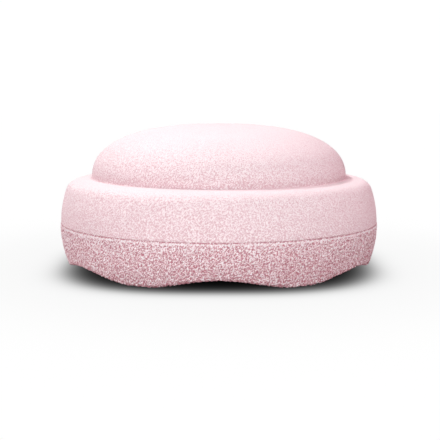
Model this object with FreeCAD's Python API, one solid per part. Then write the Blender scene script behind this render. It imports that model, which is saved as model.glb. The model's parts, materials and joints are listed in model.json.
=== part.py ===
import FreeCAD, Part
import math
import os

# A round stepping stone of moulded bead foam, for balancing on, nesting and stacking.
# It has a smooth dome with a softly crowned ledge around it, a barrel-shaped wall, a rim
# with six low feet, and a hollow underneath that takes the dome of another stone.
# All sizes are in millimetres. Z is up, the origin is on the floor under the middle of
# the stone, and the middle of one arch of the rim faces -Y.

# Overall shape
OUTER_RADIUS = 137.5        # at the joint line, the widest place
TOTAL_HEIGHT = 122.0        # floor to the top of the dome
JOINT_HEIGHT = 38.2         # floor to the line where fine foam meets coarse foam
LEDGE_HEIGHT = 75.9         # floor to the ledge, which is also the pitch of a stack

# Dome: a superellipse of revolution standing on the ledge
DOME_RADIUS = 110.3
DOME_POWER_ACROSS = 2.6     # above 2 is boxier than an ellipse
DOME_POWER_UP = 2.29
DOME_CREASE = 1.0           # small inside radius where the dome meets the ledge

# Ledge: a narrow flat around the dome, then a crown that falls towards the shoulder
LEDGE_FLAT_RADIUS = 113.3   # where the flat ends and the crown begins
LEDGE_CROWN_ARC = 40.0
SHOULDER_RADIUS = 11.0      # rounding from the crown to the wall

# Barrel wall: one arc above the joint line and a flatter one below it
UPPER_WALL_ARC = 87.0
LOWER_WALL_ARC = 95.0

# Joint line: a fine V between two eased edges, with the lower lip a little proud
LIP_STEP = 0.2
JOINT_EASE = 0.4

# Foot rim
FOOT_COUNT = 6
ARCH_HEIGHT = 8.2           # highest point of an arch above the floor
FOOT_FLAT_DEPTH = 0.3       # how much of each rounded foot is cut flat
RIM_EDGE_RADIUS = 3.0

# Hollow underneath: the shape of the dome with room to nest
NEST_GAP = 2.5              # all round, at the mouth
HOLLOW_DEPTH = 49.0

# Working allowances that leave no trace on the finished shape
OVERRUN = 12.0              # how far tools and blanks run past the floor
CURVE_STEPS = 18            # points worked out along each superellipse
WAVE_STEPS = 8              # points worked out along each arch

QUARTER_TURN = math.pi / 2
UP = FreeCAD.Vector(0, 0, 1)
ORIGIN = FreeCAD.Vector(0, 0, 0)


def point(radius, height):
    """A point of a profile, in the plane that is turned about Z."""
    return FreeCAD.Vector(radius, 0, height)


def straight(start, end):
    return Part.LineSegment(start, end).toShape()


def arc(centre_radius, centre_height, arc_radius, start_angle, end_angle):
    """A profile arc, with angles in radians from outwards, rising positive."""
    angles = (start_angle, (start_angle + end_angle) / 2, end_angle)
    ends = [
        point(centre_radius + arc_radius * math.cos(a), centre_height + arc_radius * math.sin(a))
        for a in angles
    ]
    return Part.Arc(*ends).toShape()


def dome_curve(base_radius, base_height, rise):
    """The superellipse from the foot of a dome, where it is upright, to its level top."""
    points = []
    for step in range(CURVE_STEPS + 1):
        angle = QUARTER_TURN * step / CURVE_STEPS
        across = max(math.cos(angle), 0.0) ** (2 / DOME_POWER_ACROSS)
        up = math.sin(angle) ** (2 / DOME_POWER_UP)
        points.append(point(base_radius * across, base_height + rise * up))
    points[-1] = point(0, base_height + rise)
    curve = Part.BSplineCurve()
    curve.interpolate(Points=points, InitialTangent=UP, FinalTangent=FreeCAD.Vector(-1, 0, 0))
    return curve.toShape()


def turned(edges):
    """The solid that a closed profile makes when it is turned about Z."""
    face = Part.Face(Part.Wire(edges))
    return face.revolve(ORIGIN, UP, 360)


def hollow_plug():
    """What fills the hollow: the shape of a nesting dome with its clearance."""
    mouth = DOME_RADIUS + NEST_GAP
    # The curve starts a little below the floor, so the rim's inner edge stays in one piece.
    start = -2 * FOOT_FLAT_DEPTH
    return turned([
        straight(point(0, -OVERRUN), point(mouth, -OVERRUN)),
        straight(point(mouth, -OVERRUN), point(mouth, start)),
        dome_curve(mouth, start, HOLLOW_DEPTH - start),
        straight(point(0, HOLLOW_DEPTH), point(0, -OVERRUN)),
    ])


def shoulder_centre(wall_centre, wall_height, crown_height):
    """Centre of the shoulder arc, which touches the crown and the wall from inside both."""
    across = wall_centre - LEDGE_FLAT_RADIUS
    up = wall_height - crown_height
    apart = math.hypot(across, up)
    to_crown = LEDGE_CROWN_ARC - SHOULDER_RADIUS
    to_wall = UPPER_WALL_ARC - SHOULDER_RADIUS
    along = (apart ** 2 + to_crown ** 2 - to_wall ** 2) / (2 * apart)
    aside = math.sqrt(to_crown ** 2 - along ** 2)
    radius = LEDGE_FLAT_RADIUS + (along * across + aside * up) / apart
    height = crown_height + (along * up - aside * across) / apart
    return radius, height


def upper_blank():
    """Dome, ledge, shoulder and upper wall as one solid down to the joint."""
    widest = OUTER_RADIUS - LIP_STEP
    wall_centre = widest - UPPER_WALL_ARC
    eased_height = JOINT_HEIGHT + JOINT_EASE
    crown_height = LEDGE_HEIGHT - LEDGE_CROWN_ARC
    shoulder_radius, shoulder_height = shoulder_centre(wall_centre, eased_height, crown_height)
    low_angle = math.atan2(shoulder_height - eased_height, shoulder_radius - wall_centre)
    high_angle = math.atan2(shoulder_height - crown_height, shoulder_radius - LEDGE_FLAT_RADIUS)
    crease_radius = DOME_RADIUS + DOME_CREASE
    crease_height = LEDGE_HEIGHT + DOME_CREASE
    return turned([
        straight(point(0, JOINT_HEIGHT), point(widest - JOINT_EASE, JOINT_HEIGHT)),
        arc(widest - JOINT_EASE, eased_height, JOINT_EASE, -QUARTER_TURN, 0),
        arc(wall_centre, eased_height, UPPER_WALL_ARC, 0, low_angle),
        arc(shoulder_radius, shoulder_height, SHOULDER_RADIUS, low_angle, high_angle),
        arc(LEDGE_FLAT_RADIUS, crown_height, LEDGE_CROWN_ARC, high_angle, QUARTER_TURN),
        straight(point(LEDGE_FLAT_RADIUS, LEDGE_HEIGHT), point(crease_radius, LEDGE_HEIGHT)),
        arc(crease_radius, crease_height, DOME_CREASE, -QUARTER_TURN, -2 * QUARTER_TURN),
        dome_curve(DOME_RADIUS, crease_height, TOTAL_HEIGHT - crease_height),
        straight(point(0, TOTAL_HEIGHT), point(0, JOINT_HEIGHT)),
    ])


def lower_blank():
    """The lower wall as one solid, running past the floor."""
    wall_centre = OUTER_RADIUS - LOWER_WALL_ARC
    eased_height = JOINT_HEIGHT - JOINT_EASE
    lowest_angle = -math.asin((eased_height + OVERRUN) / LOWER_WALL_ARC)
    lowest_radius = wall_centre + LOWER_WALL_ARC * math.cos(lowest_angle)
    return turned([
        straight(point(0, -OVERRUN), point(lowest_radius, -OVERRUN)),
        arc(wall_centre, eased_height, LOWER_WALL_ARC, lowest_angle, 0),
        arc(OUTER_RADIUS - JOINT_EASE, eased_height, JOINT_EASE, 0, QUARTER_TURN),
        straight(point(OUTER_RADIUS - JOINT_EASE, JOINT_HEIGHT), point(0, JOINT_HEIGHT)),
        straight(point(0, JOINT_HEIGHT), point(0, -OVERRUN)),
    ])


def wave_height(angle):
    """Height of the rim's underside, before the feet are cut flat. Angle 0 is -Y."""
    rise = ARCH_HEIGHT + FOOT_FLAT_DEPTH
    return rise * (1 + math.cos(FOOT_COUNT * angle)) / 2 - FOOT_FLAT_DEPTH


def wave_edge(radius):
    """The closed wavy line of the rim's underside at one radius."""
    points = []
    count = FOOT_COUNT * WAVE_STEPS
    for step in range(count):
        angle = 2 * math.pi * step / count
        x = radius * math.sin(angle)
        y = -radius * math.cos(angle)
        points.append(FreeCAD.Vector(x, y, wave_height(angle)))
    curve = Part.BSplineCurve()
    curve.interpolate(Points=points, PeriodicFlag=True)
    return curve.toShape()


def wave_cutter():
    """Everything below the wavy underside of the rim."""
    inner = wave_edge(DOME_RADIUS + NEST_GAP - OVERRUN)
    outer = wave_edge(OUTER_RADIUS + OVERRUN)
    surface = Part.makeRuledSurface(inner, outer)
    return surface.extrude(FreeCAD.Vector(0, 0, -2 * OVERRUN))


def rim_edges(shape):
    """The wavy edges of the rim's underside, inside and outside."""
    found = []
    for edge in shape.Edges:
        box = edge.BoundBox
        if box.ZLength > ARCH_HEIGHT / 2 and box.ZMax < ARCH_HEIGHT * 1.05:
            if box.XLength > OUTER_RADIUS:
                found.append(edge)
    return found


def base_ring():
    """Coarse lower wall with the six feet and the wall of the hollow."""
    ring = lower_blank().cut(hollow_plug()).cut(wave_cutter())
    ring = ring.makeFillet(RIM_EDGE_RADIUS, rim_edges(ring))
    below_floor = Part.makeBox(
        4 * OUTER_RADIUS, 4 * OUTER_RADIUS, OVERRUN,
        FreeCAD.Vector(-2 * OUTER_RADIUS, -2 * OUTER_RADIUS, -OVERRUN),
    )
    return ring.cut(below_floor)


def upper_shell():
    """Fine-grained dome, ledge, shoulder and upper wall, with the crown of the hollow."""
    return upper_blank().cut(hollow_plug())


NODES = {
    "upper_shell": upper_shell,
    "base_ring": base_ring,
}

os.makedirs("parts", exist_ok=True)
for name, make in NODES.items():
    shape = make()
    if len(shape.Solids) != 1 or not shape.isValid():
        raise ValueError(name + " is not one valid solid")
    solid = shape.Solids[0]
    solid.exportStep(os.path.join("parts", name + ".step"))
    print(name, round(solid.Volume / 1e6, 4), "litres")
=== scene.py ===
import json
import math

import bpy
import numpy as np
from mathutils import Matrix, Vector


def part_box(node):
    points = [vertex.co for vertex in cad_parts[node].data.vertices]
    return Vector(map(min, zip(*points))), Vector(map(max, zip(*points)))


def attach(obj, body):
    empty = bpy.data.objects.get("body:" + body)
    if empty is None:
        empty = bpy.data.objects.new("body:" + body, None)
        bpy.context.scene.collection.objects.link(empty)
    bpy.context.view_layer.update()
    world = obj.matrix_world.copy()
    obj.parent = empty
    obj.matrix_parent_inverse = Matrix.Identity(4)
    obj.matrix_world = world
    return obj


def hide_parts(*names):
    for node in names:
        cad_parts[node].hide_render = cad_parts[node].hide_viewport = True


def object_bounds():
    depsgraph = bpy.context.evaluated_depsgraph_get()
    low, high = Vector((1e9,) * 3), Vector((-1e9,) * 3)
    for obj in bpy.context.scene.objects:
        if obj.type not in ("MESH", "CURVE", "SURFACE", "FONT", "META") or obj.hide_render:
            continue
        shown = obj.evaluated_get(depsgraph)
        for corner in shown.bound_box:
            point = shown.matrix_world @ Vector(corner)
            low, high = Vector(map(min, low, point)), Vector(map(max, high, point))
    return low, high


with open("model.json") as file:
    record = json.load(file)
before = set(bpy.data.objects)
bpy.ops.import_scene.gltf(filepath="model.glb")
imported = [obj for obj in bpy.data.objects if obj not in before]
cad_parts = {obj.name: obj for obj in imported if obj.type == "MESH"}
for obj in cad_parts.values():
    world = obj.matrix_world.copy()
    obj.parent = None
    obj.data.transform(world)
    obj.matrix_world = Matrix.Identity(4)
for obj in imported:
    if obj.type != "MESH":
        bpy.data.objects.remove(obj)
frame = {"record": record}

# A round foam stepping stone. Two pieces replace the two CAD nodes: the fine-grained upper
# shell and the coarse-grained base ring. Each is a skin of rings whose beads or wrinkles are
# in the mesh itself, and a procedural foam material adds the grain that is finer than the mesh.
# Lengths are in metres. Angle 0 round the stone is -Y, where the middle of one arch is.

MM = 0.001
cad_low, cad_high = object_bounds()
RING_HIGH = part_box("base_ring")[1]
SHELL_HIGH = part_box("upper_shell")[1]
MOUNTS = {mount["name"]: mount for mount in frame["record"]["mounts"]}

# Places taken from the frame
OUTER_RADIUS = RING_HIGH.x
SHELL_RADIUS = SHELL_HIGH.x
JOINT_HEIGHT = RING_HIGH.z
TOTAL_HEIGHT = SHELL_HIGH.z
LEDGE_HEIGHT = MOUNTS["stack_ledge"]["pos_m"][2]

# Dome: a superellipse of revolution
DOME_RADIUS = 110.3 * MM
DOME_POWER_ACROSS = 2.6
DOME_POWER_UP = 2.29
DOME_CREASE = 1.0 * MM          # inside radius where the dome meets the ledge

# Ledge, shoulder and walls
UPPER_WALL_ARC = 87.0 * MM
LOWER_WALL_ARC = 95.0 * MM
LEDGE_FLAT_RADIUS = 113.3 * MM  # where the flat beside the dome ends
LEDGE_CROWN_ARC = 40.0 * MM
SHOULDER_RADIUS = 11.0 * MM

# Joint line: a thin slot between two eased edges
JOINT_EASE = 0.25 * MM
SLOT_HALF = 0.08 * MM           # half its width, on each side of the joint
SLOT_DEPTH = 0.2 * MM

# Feet and the arches between them
FOOT_COUNT = 6
ARCH_HEIGHT = 8.2 * MM
FOOT_FLAT_DEPTH = 0.3 * MM      # how much of each rounded foot is cut flat
FOOT_SOFTNESS = 0.12 * MM       # how softly that flat begins
RIM_EDGE_RADIUS = 3.0 * MM

# Hollow: the shape of the dome with room to nest, starting just below the floor
HOLLOW_RADIUS = DOME_RADIUS + 2.5 * MM
HOLLOW_DEPTH = 49.0 * MM
HOLLOW_START = -0.6 * MM
HOLLOW_RISE = HOLLOW_DEPTH - HOLLOW_START

# Closer than this is the same place, apart from rounding
SAME_PLACE = 1e-6

QUARTER_TURN = math.pi / 2
FULL_TURN = math.pi * 2


# ---------------------------------------------------------------- noise

def scrambled(cells, seed):
    """A repeatable random number from 0 to 1 for each whole-numbered cell."""
    x, y, z = (cells[..., axis].astype(np.int64).astype(np.uint64) for axis in range(3))
    mixed = x * np.uint64(73856093) + y * np.uint64(19349663) + z * np.uint64(83492791)
    mixed = (mixed + np.uint64(seed * 7919 + 17)) & np.uint64(0xFFFFFFFF)
    for shift, factor in ((15, 2246822519), (13, 3266489917), (16, 668265263)):
        mixed = ((mixed ^ (mixed >> np.uint64(shift))) * np.uint64(factor)) & np.uint64(0xFFFFFFFF)
    return mixed.astype(float) / 2 ** 32


def bead_field(points, size, seed):
    """Distance to the nearest bead's middle and to the next one, in bead sizes."""
    scaled = points / size
    corner = np.floor(scaled)
    nearest = np.full(len(points), np.inf)
    second = np.full(len(points), np.inf)
    for step in np.ndindex(3, 3, 3):
        cell = corner + np.array(step) - 1
        middle = cell + np.stack([scrambled(cell, seed + axis) for axis in range(3)], axis=1)
        distance = np.linalg.norm(scaled - middle, axis=1)
        second = np.minimum(second, np.maximum(nearest, distance))
        nearest = np.minimum(nearest, distance)
    return nearest, second


# ---------------------------------------------------------------- outlines

def superellipse_radius(radius, rise, height):
    """Radius of a dome at a height above its foot."""
    share = np.clip(height / rise, 0, 1) ** DOME_POWER_UP
    return radius * (1 - share) ** (1 / DOME_POWER_ACROSS)


def superellipse(radius, foot, rise, angles):
    """Points of a dome's outline: its radius and height at each angle from its foot."""
    across = radius * np.cos(angles) ** (2 / DOME_POWER_ACROSS)
    up = foot + rise * np.sin(angles) ** (2 / DOME_POWER_UP)
    return across, up


def evenly_spaced(across, up, spacing):
    """The same outline with points at about one spacing, ends kept."""
    lengths = np.hypot(np.diff(across), np.diff(up))
    along = np.concatenate([[0], np.cumsum(lengths)])
    count = max(2, int(round(along[-1] / spacing)) + 1)
    stations = np.linspace(0, along[-1], count)
    return np.interp(stations, along, across), np.interp(stations, along, up)


def arc_points(centre_across, centre_up, radius, start, end, count=40):
    angles = np.linspace(start, end, count)
    return centre_across + radius * np.cos(angles), centre_up + radius * np.sin(angles)


def foot_wave(angles):
    """Height of the rim's underside at each angle, with soft-edged flats under the feet."""
    rise = ARCH_HEIGHT + FOOT_FLAT_DEPTH
    wave = rise * (1 + np.cos(FOOT_COUNT * angles)) / 2 - FOOT_FLAT_DEPTH
    soft = (wave + np.sqrt(wave ** 2 + FOOT_SOFTNESS ** 2)) / 2
    lowest = (-FOOT_FLAT_DEPTH + math.hypot(FOOT_FLAT_DEPTH, FOOT_SOFTNESS)) / 2
    return soft - lowest


# ---------------------------------------------------------------- skins

class Skin:
    """Rings of points round Z, each joined to the one before it."""

    def __init__(self):
        self.points = []
        self.faces = []
        self.rings = []
        self.total = 0

    def angles(self, count):
        return np.arange(count) * FULL_TURN / count

    def ring(self, count, radius, height):
        angles = self.angles(count)
        radius = np.broadcast_to(radius, angles.shape)
        height = np.broadcast_to(height, angles.shape)
        x, y = radius * np.sin(angles), -radius * np.cos(angles)
        self.points.append(np.stack([x, y, height], axis=1))
        self.rings.append((self.total, count))
        self.total += count
        if len(self.rings) > 1:
            self.join(self.rings[-2], self.rings[-1])

    def pole(self, height):
        """One point on the axis that closes the last ring."""
        self.points.append(np.array([[0.0, 0.0, height]]))
        first, count = self.rings[-1]
        near = np.arange(count)
        tip = np.full(count, self.total)
        self.faces.append(np.stack([first + near, first + (near + 1) % count, tip], axis=1))
        self.total += 1

    def join(self, before, after):
        """Faces between two rings with as many points, or where one has half as many."""
        first, count = before
        second, after_count = after
        if count == after_count:
            near = np.arange(count)
            far = (near + 1) % count
            square = [first + near, first + far, second + far, second + near]
            self.faces.append(np.stack(square, axis=1))
            return
        if count > after_count:
            few_first, few, many_first = second, after_count, first
        else:
            few_first, few, many_first = first, count, second
        near = np.arange(few)
        far = (near + 1) % few
        left, middle, right = 2 * near, 2 * near + 1, (2 * near + 2) % (2 * few)
        fans = [
            np.stack([many_first + left, many_first + middle, few_first + near], axis=1),
            np.stack([many_first + middle, few_first + far, few_first + near], axis=1),
            np.stack([many_first + middle, many_first + right, few_first + far], axis=1),
        ]
        for fan in fans:
            self.faces.append(fan if count > after_count else fan[:, ::-1])

    def mesh(self, name):
        made = bpy.data.meshes.new(name)
        faces = [face.tolist() for group in self.faces for face in group]
        made.from_pydata(np.concatenate(self.points).tolist(), [], faces)
        made.validate()
        return made


def coordinates(mesh):
    flat = np.zeros(len(mesh.vertices) * 3)
    mesh.vertices.foreach_get("co", flat)
    return flat.reshape(-1, 3)


def normals(mesh):
    flat = np.zeros(len(mesh.vertices) * 3, np.float32)
    mesh.vertex_normals.foreach_get("vector", flat)
    return flat.reshape(-1, 3).astype(float)


def face_outwards(mesh):
    """Turns the skin the right way out if its enclosed volume comes out negative."""
    mesh.calc_loop_triangles()
    corners = np.zeros(len(mesh.loop_triangles) * 3, np.int32)
    mesh.loop_triangles.foreach_get("vertices", corners)
    a, b, c = coordinates(mesh)[corners.reshape(-1, 3)].transpose(1, 0, 2)
    if np.einsum("ij,ij->i", a, np.cross(b, c)).sum() < 0:
        mesh.flip_normals()


def raise_surface(mesh, rise, lowest=None):
    """Moves each point along its normal, and none lower than a floor."""
    moved = coordinates(mesh) + normals(mesh) * rise[:, None]
    if lowest is not None:
        moved[:, 2] = np.maximum(moved[:, 2], lowest)
    mesh.vertices.foreach_set("co", moved.ravel())
    mesh.update()


def keep_value(mesh, name, values):
    """Stores one number for each point, for the material to read."""
    attribute = mesh.attributes.new(name, "FLOAT", "POINT")
    attribute.data.foreach_set("value", np.asarray(values, np.float32))


def add_piece(mesh, materials, node):
    piece = bpy.data.objects.new(mesh.name, mesh)
    bpy.context.scene.collection.objects.link(piece)
    for material in materials:
        mesh.materials.append(material)
    mesh.shade_smooth()
    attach(piece, "root")
    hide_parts(node)


# ---------------------------------------------------------------- foam surface

COARSE_RISE = 0.55 * MM         # from the mean surface to a ridge
FINE_RISE = 0.06 * MM
RELIEF_STARTS = 1.6 * MM        # the relief reaches its full height this far from the joint
BEAD_SIZE = 4.2 * MM
CREASE_SHARPNESS = 7.0          # how soon the surface flattens out beside a crease
FLAT_BEAD = 0.8                 # height within a bead that leaves the surface where it is


def wrinkles(points, wavelength, seed, count=40):
    """Rippled skin with no direction of its own, about 0, mostly between -2 and 2."""
    random = np.random.default_rng(seed)
    directions = random.normal(size=(3, count))
    directions /= np.linalg.norm(directions, axis=0)
    turns = directions / (wavelength * random.uniform(0.75, 1.35, count))
    starts = random.uniform(0, FULL_TURN, count)
    return np.cos(FULL_TURN * points @ turns + starts).sum(axis=1) * math.sqrt(2 / count)


def coarse_relief(points):
    """Height of the coarse crepe skin, from -1 in the pits to 1 on the ridges."""
    broad = wrinkles(points, 2.7 * MM, seed=3)
    narrow = wrinkles(points, 1.9 * MM, seed=4)
    return np.tanh(0.8 * broad + 0.7 * narrow)


def fine_relief(points):
    """Height of the fine-grained face: flattened beads with faint creases between them."""
    nearest, second = bead_field(points, BEAD_SIZE, seed=23)
    # 0 in the creases between beads, and close to 1 in the middle of each bead
    bead = 1 - np.exp(-CREASE_SHARPNESS * (second - nearest))
    return np.tanh(0.9 * (bead - FLAT_BEAD) + 0.7 * wrinkles(points, 3.0 * MM, seed=5))


def bump_at(distance, middle, width):
    """1 at the middle, falling smoothly to 0 over the width on each side."""
    return np.exp(-((distance - middle) / width) ** 2)


def fade(distance, width):
    """0 at distance 0, rising smoothly to 1 at the given width."""
    share = np.clip(distance / width, 0, 1)
    return share * share * (3 - 2 * share)


# ---------------------------------------------------------------- base ring

# Points round each ring, and the spacing from one ring to the next
RING_POINTS = 1152
HOLLOW_POINTS = RING_POINTS // 2
RING_ROW = 0.75 * MM
UNDERSIDE_ROW = 1.3 * MM
HOLLOW_ROW = 1.75 * MM
HOLLOW_BULGE = 1.06             # length of the hollow's curved wall over its straight slope
HOLLOW_CROWDING = 0.9           # below 1 evens out the rows near the joint

# Colour of the band: how far each place is towards the pits' colour. Below 0 is paler.
LIP_PLACE = 1.7 * MM            # middle of the smooth lip below the joint, which has a painted highlight
LIP_HALF_WIDTH = 0.75 * MM
# Painted highlight: the lip is made paler
LIP_HIGHLIGHT_TONE = -0.5
LIP_GRAIN_LOSS = 0.7            # share of the grain's contrast that the lip lacks
JOINT_SHADE_TONE = 0.9                # painted shade in the joint line's slot
JOINT_TONE_WIDTH = 1.0 * MM
BAND_TONE = -0.10               # just below the lip
BAND_TONE_RISE = 0.18           # more lower down
BAND_TONE_DEPTH = 22 * MM
RIM_SHADE_TONE = 0.80                # painted shade on the rim's lower edge and underside
EDGE_TONE_WIDTH = 2.4 * MM


def base_ring_mesh():
    """Wall, rounded rim with feet and arches, hollow wall and the hidden joint face."""
    skin = Skin()
    wave = foot_wave(skin.angles(RING_POINTS))
    wall_centre = OUTER_RADIUS - LOWER_WALL_ARC
    wall_top = JOINT_HEIGHT - SLOT_HALF - JOINT_EASE
    lip_radius = OUTER_RADIUS - JOINT_EASE

    def arc_ring(centre_radius, centre_height, arc_radius, angle):
        """A ring at one angle of an arc, where any of the numbers may vary round the ring."""
        across = centre_radius + arc_radius * np.cos(angle)
        skin.ring(RING_POINTS, across, centre_height + arc_radius * np.sin(angle))

    # Lip at the joint line
    for angle in np.linspace(QUARTER_TURN, 0, 4)[:-1]:
        arc_ring(lip_radius, wall_top, JOINT_EASE, angle)

    # Wall: an arc that stops where the rim's edge rounding begins, all round the wave
    edge_height = wave + RIM_EDGE_RADIUS
    reach = LOWER_WALL_ARC - RIM_EDGE_RADIUS
    edge_angle = -np.arcsin((wall_top - edge_height) / reach)
    edge_radius = wall_centre + reach * np.cos(edge_angle)
    rows = int(round(LOWER_WALL_ARC * -edge_angle.mean() / RING_ROW))
    for share in np.linspace(0, 1, rows + 1):
        arc_ring(wall_centre, wall_top, LOWER_WALL_ARC, edge_angle * share)

    # Rounded outer edge, underside, rounded inner edge
    for share in np.linspace(0, 1, 6)[1:]:
        angle = edge_angle + (-QUARTER_TURN - edge_angle) * share
        arc_ring(edge_radius, edge_height, RIM_EDGE_RADIUS, angle)
    inner_wall = superellipse_radius(HOLLOW_RADIUS, HOLLOW_RISE, edge_height - HOLLOW_START)
    inner_radius = inner_wall + RIM_EDGE_RADIUS
    rows = int(round((edge_radius - inner_radius).mean() / UNDERSIDE_ROW))
    for share in np.linspace(0, 1, rows + 1)[1:]:
        skin.ring(RING_POINTS, edge_radius + (inner_radius - edge_radius) * share, wave)
    for share in np.linspace(0, 1, 5)[1:]:
        angle = -QUARTER_TURN - QUARTER_TURN * share
        arc_ring(inner_radius, edge_height, RIM_EDGE_RADIUS, angle)

    # Wall of the hollow, with half as many points round it
    joint_hollow = superellipse_radius(HOLLOW_RADIUS, HOLLOW_RISE, JOINT_HEIGHT - HOLLOW_START)
    few_height = edge_height[::RING_POINTS // HOLLOW_POINTS]
    slope = math.hypot(JOINT_HEIGHT - few_height.mean(), HOLLOW_RADIUS - joint_hollow)
    rows = int(round(HOLLOW_BULGE * slope / HOLLOW_ROW))
    for share in np.linspace(0, 1, rows + 1)[1:]:
        # Rows crowd towards the joint, where the hollow turns inwards
        climb = math.sin(share * QUARTER_TURN) ** HOLLOW_CROWDING
        height = few_height + (JOINT_HEIGHT - few_height) * climb
        radius = superellipse_radius(HOLLOW_RADIUS, HOLLOW_RISE, height - HOLLOW_START)
        skin.ring(HOLLOW_POINTS, radius, height)

    # Hidden joint face, then the slot that shows as the joint line, back to the lip
    for count, share in ((HOLLOW_POINTS, 0.4), (RING_POINTS, 0.8)):
        skin.ring(count, joint_hollow + (lip_radius - joint_hollow) * share, JOINT_HEIGHT)
    skin.ring(RING_POINTS, lip_radius - SLOT_DEPTH, JOINT_HEIGHT)
    skin.ring(RING_POINTS, lip_radius - SLOT_DEPTH, JOINT_HEIGHT - SLOT_HALF)
    skin.join(skin.rings[-1], skin.rings[0])
    return skin.mesh("base_ring_foam")


def on_outside(points):
    """True on the outer wall and the rim, and False in the hollow."""
    return np.hypot(points[:, 0], points[:, 1]) > HOLLOW_RADIUS


def lip_highlight_share(points):
    """1 along the smooth lip just below the joint line, where a highlight is painted."""
    below_joint = JOINT_HEIGHT - points[:, 2]
    return bump_at(below_joint, LIP_PLACE, LIP_HALF_WIDTH) * on_outside(points)


def ring_shade_and_highlight(points):
    """How rosy the band is: a painted highlight on the lip, painted shade in the joint line and
    under the rim, and rosier lower down.
    """
    below_joint = JOINT_HEIGHT - points[:, 2]
    angles = np.arctan2(points[:, 0], -points[:, 1])
    above_edge = points[:, 2] - foot_wave(angles)
    joint = (1 - fade(below_joint, JOINT_TONE_WIDTH)) * on_outside(points)
    lower_down = fade(below_joint, BAND_TONE_DEPTH)
    edge = 1 - fade(above_edge, EDGE_TONE_WIDTH)
    return (BAND_TONE + BAND_TONE_RISE * lower_down + LIP_HIGHLIGHT_TONE * lip_highlight_share(points)
            + JOINT_SHADE_TONE * joint + RIM_SHADE_TONE * edge)


def make_base_ring(material):
    mesh = base_ring_mesh()
    face_outwards(mesh)
    points = coordinates(mesh)
    relief = coarse_relief(points)
    below_joint = JOINT_HEIGHT - points[:, 2]
    rise = COARSE_RISE * relief * fade(below_joint, RELIEF_STARTS)
    rise[below_joint < SAME_PLACE] = 0
    raise_surface(mesh, rise, lowest=0)
    keep_value(mesh, "relief", relief)
    # The tone holds the lip's painted highlight and painted shade in the joint line and under the
    # rim
    keep_value(mesh, "tone", ring_shade_and_highlight(points))
    keep_value(mesh, "gain", 1 - LIP_GRAIN_LOSS * lip_highlight_share(points))
    add_piece(mesh, [material], "base_ring")


# ---------------------------------------------------------------- upper shell

# Points round each ring, which halve towards the axis, and the spacing between rings
SHELL_POINTS = 640
SHELL_ROW = 1.2 * MM
CROWN_POINTS = SHELL_POINTS // 2
CROWN_ROW = 1.5 * MM
LIP_ROW = 0.25 * MM
CREASE_ROW = 0.4 * MM
HALVE_AT = 0.52                 # share of its first radius where a ring's points halve
FEWEST_POINTS = 12              # rings of this many or fewer are left as they are
OUTLINE_STEPS = 2000            # points worked out along each dome before they are spaced out

# The hollow's crown: below this height and inside this radius
CROWN_TOP = HOLLOW_DEPTH + 0.2 * MM
CROWN_LIMIT = 85 * MM

# Colour of the shell: how far each place is towards the pits' colour. Below 0 is paler.
LOW_WALL_SHADE_TONE = 0.19            # painted shade, down by the joint
LOW_WALL_HEIGHT = 30 * MM
FOOT_SHADE_TONE = 0.16                # painted shade low on the dome
FOOT_HEIGHT = 13 * MM
FOOT_REACH = 2.5 * MM           # out onto the ledge
CREASE_SHADE_TONE = 0.30              # painted shade where the dome meets the ledge
CREASE_REACH = 2.2 * MM
UPWARD_LIGHT_TONE = -0.15             # painted light: paler where it faces up

# Contrast of the grain, strongest on upright faces: painted shading of the grain's relief, which
# shows most where light grazes
UPRIGHT_GAIN = 1.45
UPWARD_GAIN_LOSS = 1.25
UPWARD_GAIN_POWER = 1.2


def add_closing_dome(skin, across, up, count):
    """Rings along an outline that ends on the axis, with fewer points as they shrink."""
    widest = across[0]
    full = count
    for radius, height in zip(across[1:-1], up[1:-1]):
        while count > FEWEST_POINTS and radius < HALVE_AT * widest * count / full:
            count //= 2
        skin.ring(count, radius, height)
    skin.pole(up[-1])


def shoulder_centre(wall_centre, wall_height, crown_height):
    """Centre of the shoulder arc, which touches the crown and the wall from inside both."""
    across = wall_centre - LEDGE_FLAT_RADIUS
    up = wall_height - crown_height
    apart = math.hypot(across, up)
    to_crown = LEDGE_CROWN_ARC - SHOULDER_RADIUS
    to_wall = UPPER_WALL_ARC - SHOULDER_RADIUS
    along = (apart ** 2 + to_crown ** 2 - to_wall ** 2) / (2 * apart)
    aside = math.sqrt(to_crown ** 2 - along ** 2)
    radius = LEDGE_FLAT_RADIUS + (along * across + aside * up) / apart
    height = crown_height + (along * up - aside * across) / apart
    return radius, height


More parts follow.
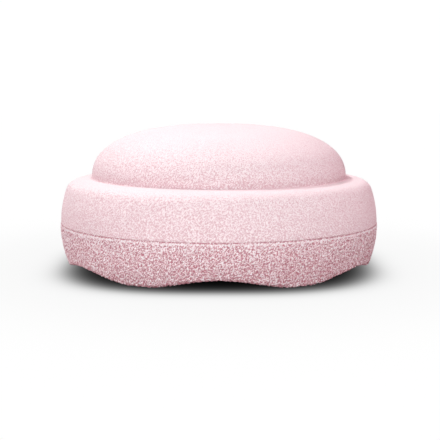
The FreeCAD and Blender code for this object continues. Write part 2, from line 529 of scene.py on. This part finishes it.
def upper_shell_mesh():
    """Wall, shoulder, ledge and dome, then the joint face and the crown of the hollow."""
    skin = Skin()
    wall_centre = SHELL_RADIUS - UPPER_WALL_ARC
    eased = JOINT_HEIGHT + SLOT_HALF + JOINT_EASE
    lip_radius = SHELL_RADIUS - JOINT_EASE
    crown_height = LEDGE_HEIGHT - LEDGE_CROWN_ARC
    shoulder_radius, shoulder_height = shoulder_centre(wall_centre, eased, crown_height)
    low_angle = math.atan2(shoulder_height - eased, shoulder_radius - wall_centre)
    high_angle = math.atan2(shoulder_height - crown_height, shoulder_radius - LEDGE_FLAT_RADIUS)
    crease_radius = DOME_RADIUS + DOME_CREASE
    crease_height = LEDGE_HEIGHT + DOME_CREASE

    # Lip, wall, shoulder, crowned ledge, its flat and the crease
    lip = arc_points(lip_radius, eased, JOINT_EASE, -QUARTER_TURN, 0)
    wall = arc_points(wall_centre, eased, UPPER_WALL_ARC, 0, low_angle)
    shoulder = arc_points(shoulder_radius, shoulder_height, SHOULDER_RADIUS, low_angle, high_angle)
    ledge = arc_points(
        LEDGE_FLAT_RADIUS, crown_height, LEDGE_CROWN_ARC, high_angle, QUARTER_TURN)
    flat = np.array([LEDGE_FLAT_RADIUS, crease_radius]), np.full(2, LEDGE_HEIGHT)
    crease = arc_points(crease_radius, crease_height, DOME_CREASE, -QUARTER_TURN, -math.pi)
    parts = (
        (lip, LIP_ROW), (wall, SHELL_ROW), (shoulder, SHELL_ROW), (ledge, SHELL_ROW),
        (flat, SHELL_ROW), (crease, CREASE_ROW),
    )
    for index, (outline, spacing) in enumerate(parts):
        # Each part begins where the one before it ended, so its first point is left out
        skipped = 1 if index else 0
        across, up = evenly_spaced(*outline, spacing)
        for radius, height in zip(across[skipped:], up[skipped:]):
            skin.ring(SHELL_POINTS, radius, height)
    angles = np.linspace(0, QUARTER_TURN, OUTLINE_STEPS)
    dome = superellipse(DOME_RADIUS, crease_height, TOTAL_HEIGHT - crease_height, angles)
    across, up = evenly_spaced(*dome, SHELL_ROW)
    add_closing_dome(skin, across, up, SHELL_POINTS)

    # From the lip again, the other way: slot, joint face and the hollow's crown. These faces
    # run towards the axis on the under side, so they are turned over at the end.
    skin.rings.append(skin.rings[0])
    turn_from = len(skin.faces)
    skin.ring(SHELL_POINTS, lip_radius - SLOT_DEPTH, JOINT_HEIGHT + SLOT_HALF)
    skin.ring(SHELL_POINTS, lip_radius - SLOT_DEPTH, JOINT_HEIGHT)
    joint_hollow = superellipse_radius(HOLLOW_RADIUS, HOLLOW_RISE, JOINT_HEIGHT - HOLLOW_START)
    for share in (0.3, 0.7, 1.0):
        radius = lip_radius + (joint_hollow - lip_radius) * share
        skin.ring(CROWN_POINTS, radius, JOINT_HEIGHT)
    joint_angle = math.asin(((JOINT_HEIGHT - HOLLOW_START) / HOLLOW_RISE) ** (DOME_POWER_UP / 2))
    angles = np.linspace(joint_angle, QUARTER_TURN, OUTLINE_STEPS)
    crown = superellipse(HOLLOW_RADIUS, HOLLOW_START, HOLLOW_RISE, angles)
    across, up = evenly_spaced(*crown, CROWN_ROW)
    add_closing_dome(skin, across, up, CROWN_POINTS)
    skin.faces[turn_from:] = [group[:, ::-1] for group in skin.faces[turn_from:]]
    return skin.mesh("upper_shell_foam")


def shell_light_and_shade(points, upward):
    """How rosy the shell is: painted light where it faces up, and painted shade low on the wall,
    at the dome's foot and in the crease.
    """
    radius = np.hypot(points[:, 0], points[:, 1])
    above_ledge = points[:, 2] - LEDGE_HEIGHT
    beside_dome = radius - DOME_RADIUS
    low_wall = 1 - fade(points[:, 2] - JOINT_HEIGHT, LOW_WALL_HEIGHT)
    foot = (1 - fade(above_ledge, FOOT_HEIGHT)) * (1 - fade(beside_dome, FOOT_REACH))
    # The hollow is also within the dome's radius, but well below the ledge
    foot *= above_ledge > -0.5 * MM
    crease = np.exp(-np.hypot(above_ledge, beside_dome) / CREASE_REACH)
    return (LOW_WALL_SHADE_TONE * low_wall + FOOT_SHADE_TONE * foot + CREASE_SHADE_TONE * crease
            + UPWARD_LIGHT_TONE * upward)


def make_upper_shell(fine, coarse):
    mesh = upper_shell_mesh()
    face_outwards(mesh)
    points = coordinates(mesh)
    upward = np.clip(normals(mesh)[:, 2], 0, 1)
    radius = np.hypot(points[:, 0], points[:, 1])
    above_joint = points[:, 2] - JOINT_HEIGHT
    crown = (points[:, 2] < CROWN_TOP) & (radius < CROWN_LIMIT) & (above_joint > -SAME_PLACE)
    fine_values = fine_relief(points)
    coarse_values = coarse_relief(points)
    rise = np.where(crown, COARSE_RISE * coarse_values, FINE_RISE * fine_values)
    rise *= fade(above_joint, RELIEF_STARTS)
    rise[np.abs(above_joint) < SAME_PLACE] = 0
    raise_surface(mesh, rise)
    # Painted shading of the grain: more colour contrast on upright faces, less where the surface
    # faces up
    gain = UPRIGHT_GAIN - UPWARD_GAIN_LOSS * upward ** UPWARD_GAIN_POWER
    keep_value(mesh, "relief", np.where(crown, coarse_values, fine_values))
    # The tone holds painted light on upward faces and painted shade low on the wall, at the dome's
    # foot and in the crease
    keep_value(mesh, "tone", np.where(crown, 0, shell_light_and_shade(points, upward)))
    keep_value(mesh, "gain", np.where(crown, 1, gain))
    add_piece(mesh, [fine, coarse], "upper_shell")
    # The crown of the hollow has the coarse foam, which is the second material
    face_slots = [
        int(crown[face.vertices[0]] and crown[face.vertices[2]]) for face in mesh.polygons
    ]
    mesh.polygons.foreach_set("material_index", face_slots)


# ---------------------------------------------------------------- materials

# Colours of each foam, from the palest ridges to the bottoms of the pits
FINE_COLOURS = ((0.97, 0.850, 0.865), (0.895, 0.722, 0.750), (0.74, 0.490, 0.530))
COARSE_COLOURS = ((0.98, 0.885, 0.905), (0.830, 0.515, 0.560), (0.535, 0.228, 0.266))

# Each foam's grain: its size, how far it and the relief run along the colours, and its height
FINE_GRAIN = {"size": 0.6 * MM, "colour": 6.0, "relief_colour": 0.05, "height": 0.6 * MM}
COARSE_GRAIN = {"size": 0.7 * MM, "colour": 8.6, "relief_colour": 0.25, "height": 0.9 * MM}
GRAIN_LEAN = math.radians(-45)  # turned about Y, the direction the grain is drawn out along
GRAIN_STRETCH = 2.4
USUAL_SHARE = 0.5               # place along the colours where the tone is 0

# Slow changes of colour across the stone
CLOUD_SIZE = 40 * MM
CLOUD_COLOUR = 0.2

# A matte skin, a little duller in the pits
RIDGE_ROUGHNESS = 0.78
PIT_ROUGHNESS = 0.95
SPECULAR_LEVEL = 0.28


def node(tree, kind, values=None, **inputs):
    """A shader node with its settings and the plain values of its inputs."""
    made = tree.nodes.new(kind)
    for name, value in (values or {}).items():
        setattr(made, name, value)
    for name, value in inputs.items():
        made.inputs[name.replace("_", " ")].default_value = value
    return made


def math_node(tree, operation, *values):
    """One step of arithmetic. Each value is a number or another node's output."""
    made = node(tree, "ShaderNodeMath", {"operation": operation})
    for socket, value in zip(made.inputs, values):
        if isinstance(value, (int, float)):
            socket.default_value = value
        else:
            tree.links.new(value, socket)
    return made.outputs[0]


def noise_node(tree, place, size, detail):
    """Noise about 0 whose blobs are about one size across, in metres."""
    made = node(tree, "ShaderNodeTexNoise", Scale=1 / size, Detail=detail)
    tree.links.new(place, made.inputs["Vector"])
    return math_node(tree, "SUBTRACT", made.outputs["Fac"], 0.5)


def blend_numbers(tree, share, low, high):
    """Goes from the low number to the high one as the share goes from 0 to 1."""
    made = node(tree, "ShaderNodeMapRange")
    made.inputs["To Min"].default_value = low
    made.inputs["To Max"].default_value = high
    tree.links.new(share, made.inputs["Value"])
    return made.outputs["Result"]


def colour_ramp(tree, share, colours):
    """Blends through evenly spaced colours as the share goes from 0 to 1."""
    made = node(tree, "ShaderNodeValToRGB")
    stops = made.color_ramp.elements
    while len(stops) < len(colours):
        stops.new(0.5)
    for index, colour in enumerate(colours):
        stops[index].position = index / (len(colours) - 1)
        stops[index].color = (*colour, 1.0)
    tree.links.new(share, made.inputs["Fac"])
    return made.outputs["Color"]


def new_material(name):
    """A material, its node tree and its shader."""
    material = bpy.data.materials.new(name)
    material.use_nodes = True
    return material, material.node_tree, material.node_tree.nodes["Principled BSDF"]


def foam_material(name, colours, grain):
    """Moulded bead foam: pale pink, rosier in the pits, matte, with a grainy skin."""
    material, tree, shader = new_material(name)
    lean = node(tree, "ShaderNodeMapping", {"vector_type": "TEXTURE"})
    lean.inputs["Rotation"].default_value = (0, GRAIN_LEAN, 0)
    lean.inputs["Scale"].default_value = (GRAIN_STRETCH, 1, 1)
    tree.links.new(node(tree, "ShaderNodeTexCoord").outputs["Object"], lean.inputs["Vector"])
    place = lean.outputs["Vector"]
    relief, tone, gain = (
        node(tree, "ShaderNodeAttribute", {"attribute_name": value}).outputs["Fac"]
        for value in ("relief", "tone", "gain")
    )

    # How deep each point is: ridges are pale and pits are rosy, in the relief and in the grain
    depth = math_node(tree, "MULTIPLY", relief, -grain["relief_colour"])
    speck = noise_node(tree, place, grain["size"], 1.0)
    depth = math_node(tree, "MULTIPLY_ADD", speck, -grain["colour"], depth)

    # Place along the colours, from 0 at the palest to 1 at the rosiest
    cloud = noise_node(tree, place, CLOUD_SIZE, 2.0)
    # The tone attribute carries painted light and painted shade from the mesh
    usual = math_node(tree, "ADD", tone, USUAL_SHARE)
    share = math_node(tree, "MULTIPLY_ADD", cloud, CLOUD_COLOUR, usual)
    # The gain sets the grain's contrast; on the shell it is painted shading of the relief
    share = math_node(tree, "MULTIPLY_ADD", depth, gain, share)
    tree.links.new(colour_ramp(tree, share, colours), shader.inputs["Base Color"])

    bump = node(tree, "ShaderNodeBump", Strength=1.0, Distance=grain["height"])
    tree.links.new(speck, bump.inputs["Height"])
    tree.links.new(bump.outputs["Normal"], shader.inputs["Normal"])

    rough = blend_numbers(tree, share, RIDGE_ROUGHNESS, PIT_ROUGHNESS)
    tree.links.new(rough, shader.inputs["Roughness"])
    shader.inputs["Specular IOR Level"].default_value = SPECULAR_LEVEL
    return material


def s_curve(tree, value, middle, width):
    """Rises from 0 to 1 about the middle."""
    steps = math_node(tree, "DIVIDE", math_node(tree, "SUBTRACT", middle, value), width)
    power = math_node(tree, "EXPONENT", steps)
    return math_node(tree, "DIVIDE", 1.0, math_node(tree, "ADD", power, 1.0))


def show_to_camera(tree, lit, seen, output):
    """Gives the camera one shader and all other light another."""
    mix = node(tree, "ShaderNodeMixShader")
    is_camera = node(tree, "ShaderNodeLightPath").outputs["Is Camera Ray"]
    tree.links.new(is_camera, mix.inputs[0])
    tree.links.new(lit.outputs[0], mix.inputs[1])
    tree.links.new(seen.outputs[0], mix.inputs[2])
    tree.links.new(mix.outputs[0], tree.nodes[output].inputs["Surface"])


# The floor. As the camera sees it, a painted contact shadow: brightness climbs from black under
# the stone to white in two steps, across a rounded square outline close to the stone, then a
# little more far out.
SHADOW_HALF_WIDTH = 132.7 * MM
SHADOW_HALF_DEPTH = 142.5 * MM
SHADOW_POWER = 2.8              # 2 is an ellipse, and more is squarer
SHADOW_SOFTNESS = 0.047         # share of the half width
NEAR_BRIGHTNESS = 0.94
FAR_BRIGHTNESS = 0.065
FAR_RADIUS = 246 * MM
FAR_SOFTNESS = 42 * MM
FLOOR_GREY = 0.8                # what the light meets
FLOOR_HALF = 4.0


def floor_material():
    """White with a painted soft shadow under the stone to the camera, and plain pale to the light.
    """
    material, tree, shader = new_material("studio_floor")
    shader.inputs["Base Color"].default_value = (FLOOR_GREY, FLOOR_GREY, FLOOR_GREY, 1)
    shader.inputs["Roughness"].default_value = 0.9
    place = node(tree, "ShaderNodeTexCoord").outputs["Object"]
    split = node(tree, "ShaderNodeSeparateXYZ")
    tree.links.new(place, split.inputs[0])
    total = 0.0
    for axis, half in (("X", SHADOW_HALF_WIDTH), ("Y", SHADOW_HALF_DEPTH)):
        share = math_node(tree, "DIVIDE", math_node(tree, "ABSOLUTE", split.outputs[axis]), half)
        total = math_node(tree, "ADD", math_node(tree, "POWER", share, SHADOW_POWER), total)
    reach = math_node(tree, "POWER", total, 1 / SHADOW_POWER)
    near = s_curve(tree, reach, 1.0, SHADOW_SOFTNESS)
    radius = node(tree, "ShaderNodeVectorMath", {"operation": "LENGTH"})
    tree.links.new(place, radius.inputs[0])
    far = s_curve(tree, radius.outputs["Value"], FAR_RADIUS, FAR_SOFTNESS)
    far = math_node(tree, "MULTIPLY", far, FAR_BRIGHTNESS)
    glow = node(tree, "ShaderNodeEmission")
    brightness = math_node(tree, "MULTIPLY_ADD", near, NEAR_BRIGHTNESS, far)
    tree.links.new(brightness, glow.inputs["Strength"])
    show_to_camera(tree, shader, glow, "Material Output")
    return material


# ---------------------------------------------------------------- studio

# Camera, at the photograph's angle
CAMERA_PLACE = (0, -0.943, 0.162)
CAMERA_TILT = -0.131            # from level, in radians
CAMERA_SENSOR = 36.0
CAMERA_LENS = 88.4
CAMERA_SHIFT = 0.0026

# Lights: name, azimuth, elevation, watts, colour and size. Azimuth 0 is in front and 90 on the
# right. The pink ones stand in for light that is scattered inside the foam, and the small one
# throws the dome's sharp shadow on the ledge.
LIGHTS = (
    ("front_left", -20, 34, 10.5, (0.93, 1.0, 1.0), 0.8),
    ("front_right", 22, 32, 10.0, (1.0, 0.95, 0.97), 0.8),
    ("right_back", 118, 40, 7.9, (1.0, 0.55, 0.65), 0.8),
    ("high_right", 62, 76, 2.6, (1.0, 0.96, 0.97), 0.8),
    ("left_back", -150, 50, 4.6, (0.84, 1.0, 0.96), 0.8),
    ("left_low", -84, 14, 4.4, (1.0, 0.50, 0.60), 0.8),
    ("key", -132, 58, 15.6, (0.88, 0.97, 0.95), 0.08),
)
LIGHT_DISTANCE = 1.6
BACKGROUND_BRIGHTNESS = 1.02


def add_floor():
    mesh = bpy.data.meshes.new("studio_floor")
    corners = [(-1, -1), (1, -1), (1, 1), (-1, 1)]
    mesh.from_pydata([(x * FLOOR_HALF, y * FLOOR_HALF, 0) for x, y in corners], [], [(0, 1, 2, 3)])
    floor = bpy.data.objects.new("studio_floor", mesh)
    bpy.context.scene.collection.objects.link(floor)
    mesh.materials.append(floor_material())


def add_light(name, azimuth, elevation, power, colour, size):
    """A square light that looks at the middle of the stone."""
    data = bpy.data.lights.new(name, "AREA")
    data.size = size
    data.energy = power
    data.color = colour
    light = bpy.data.objects.new(name, data)
    bpy.context.scene.collection.objects.link(light)
    turn, lift = math.radians(azimuth), math.radians(elevation)
    target = (cad_low + cad_high) / 2
    place = target.copy()
    place.x += LIGHT_DISTANCE * math.sin(turn) * math.cos(lift)
    place.y -= LIGHT_DISTANCE * math.cos(turn) * math.cos(lift)
    place.z += LIGHT_DISTANCE * math.sin(lift)
    light.location = place
    light.rotation_mode = "QUATERNION"
    light.rotation_quaternion = (place - target).to_track_quat("Z", "Y")


def add_camera():
    data = bpy.data.cameras.new("camera")
    data.sensor_width = CAMERA_SENSOR
    data.lens = CAMERA_LENS
    data.clip_start = 0.05
    data.clip_end = 50
    data.shift_x = CAMERA_SHIFT
    camera = bpy.data.objects.new("camera", data)
    bpy.context.scene.collection.objects.link(camera)
    camera.location = CAMERA_PLACE
    camera.rotation_euler = (QUARTER_TURN + CAMERA_TILT, 0, 0)
    bpy.context.scene.camera = camera


def add_background():
    """Plain white behind everything, which lights nothing."""
    world = bpy.data.worlds.new("studio")
    world.use_nodes = True
    tree = world.node_tree
    dark = tree.nodes["Background"]
    dark.inputs["Strength"].default_value = 0
    white = node(tree, "ShaderNodeBackground", Strength=BACKGROUND_BRIGHTNESS)
    white.inputs["Color"].default_value = (1, 1, 1, 1)
    show_to_camera(tree, dark, white, "World Output")
    bpy.context.scene.world = world


add_camera()
fine_foam = foam_material("foam_fine", FINE_COLOURS, FINE_GRAIN)
coarse_foam = foam_material("foam_coarse", COARSE_COLOURS, COARSE_GRAIN)
make_base_ring(coarse_foam)
make_upper_shell(fine_foam, coarse_foam)
add_floor()
add_background()
for light in LIGHTS:
    add_light(*light)
bpy.context.scene.view_settings.view_transform = "Standard"
